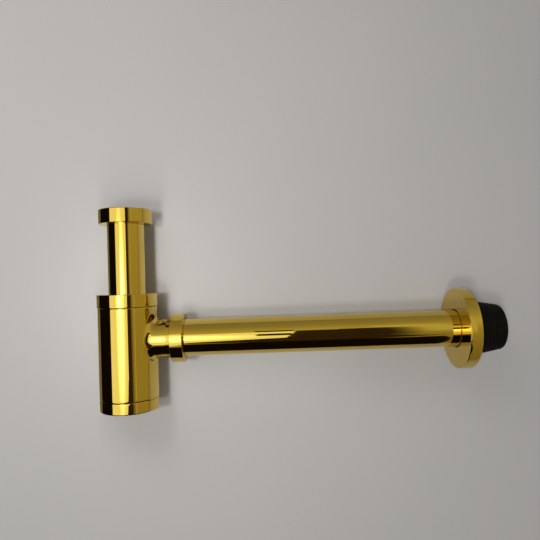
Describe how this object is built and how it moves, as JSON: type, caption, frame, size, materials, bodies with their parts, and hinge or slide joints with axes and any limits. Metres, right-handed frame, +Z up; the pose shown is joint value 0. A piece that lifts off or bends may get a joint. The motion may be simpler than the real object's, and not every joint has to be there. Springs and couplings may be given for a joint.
{
  "type": "bottle trap",
  "caption": "Polished gold round bottle trap: screwed bottle with cleaning cup, sliding inlet tube with union nut, and a long outlet tube with wall flange and rubber seal.",
  "frame": {"origin": "centre of the union nut's mouth, where the basin waste screws in", "axes": "+Z up the bottle's axis, out of the union nut; +X along the outlet tube, towards the wall"},
  "size_m": [0.3528, 0.0704, 0.1735],
  "materials": {
    "polished_gold": "mirror polished",
    "black_rubber": "matt",
    "white_nylon": "matt"
  },
  "bodies": {
    "bottle": {"trap_body": "polished_gold"},
    "clamp_seal": {"clamp_cone_seal": "black_rubber"},
    "inlet": {"inlet_tube": "polished_gold", "inlet_washer": "black_rubber"},
    "union_nut": {"union_nut": "polished_gold"},
    "clamp_ring": {"clamp_friction_ring": "white_nylon"},
    "clamp_nut": {"clamp_nut": "polished_gold"},
    "cup_ring": {"cup_o_ring": "black_rubber"},
    "cup": {"cleaning_cup": "polished_gold"},
    "outlet_ring": {"outlet_friction_ring": "white_nylon"},
    "outlet_nut": {"outlet_nut": "polished_gold"},
    "outlet_seal": {"outlet_cone_seal": "black_rubber"},
    "outlet": {"outlet_tube": "polished_gold", "wall_seal": "black_rubber"},
    "flange_grip": {"flange_grip_ring": "black_rubber"},
    "flange": {"wall_flange": "polished_gold"}
  },
  "joints": [
    {"name": "inlet_swivel", "type": "hinge", "parent": "bottle", "child": "clamp_seal", "pos_m": [0, 0, -0.1132], "axis": [0, 0, 1], "continuous": true},
    {"name": "inlet_height", "type": "slide", "parent": "clamp_seal", "child": "inlet", "axis": [0, 0, 1], "range_m": [-0.012, 0.02]},
    {"name": "union_nut_spin", "type": "hinge", "parent": "inlet", "child": "union_nut", "pos_m": [0, 0, 0], "axis": [0, 0, 1], "continuous": true},
    {"name": "clamp_nut_travel", "type": "slide", "parent": "bottle", "child": "clamp_ring", "axis": [0, 0, 1], "range_m": [0, 0.0075]},
    {"name": "clamp_nut_turn", "type": "hinge", "parent": "clamp_ring", "child": "clamp_nut", "pos_m": [0, 0, -0.1132], "axis": [0, 0, 1], "range_deg": [0, 1800]},
    {"name": "cup_travel", "type": "slide", "parent": "bottle", "child": "cup_ring", "axis": [0, 0, -1], "range_m": [0, 0.0075]},
    {"name": "cup_turn", "type": "hinge", "parent": "cup_ring", "child": "cup", "pos_m": [0, 0, -0.1132], "axis": [0, 0, -1], "range_deg": [0, 1800]},
    {"name": "outlet_nut_travel", "type": "slide", "parent": "bottle", "child": "outlet_ring", "axis": [1, 0, 0], "range_m": [0, 0.0075]},
    {"name": "outlet_nut_turn", "type": "hinge", "parent": "outlet_ring", "child": "outlet_nut", "pos_m": [0.039, 0, -0.1132], "axis": [1, 0, 0], "range_deg": [0, 1800]},
    {"name": "outlet_turn", "type": "hinge", "parent": "bottle", "child": "outlet_seal", "pos_m": [0.039, 0, -0.1132], "axis": [1, 0, 0], "continuous": true},
    {"name": "outlet_reach", "type": "slide", "parent": "outlet_seal", "child": "outlet", "axis": [1, 0, 0], "range_m": [-0.006, 0.012]},
    {"name": "flange_slide", "type": "slide", "parent": "outlet", "child": "flange_grip", "axis": [1, 0, 0], "range_m": [-0.22, 0]},
    {"name": "flange_turn", "type": "hinge", "parent": "flange_grip", "child": "flange", "pos_m": [0.039, 0, -0.1132], "axis": [1, 0, 0], "continuous": true}
  ],
  "couplings": [
    {"joint": "clamp_nut_travel", "follows": "clamp_nut_turn", "m_per_rad": 0.00023873},
    {"joint": "cup_travel", "follows": "cup_turn", "m_per_rad": 0.00023873},
    {"joint": "outlet_nut_travel", "follows": "outlet_nut_turn", "m_per_rad": 0.00023873}
  ]
}
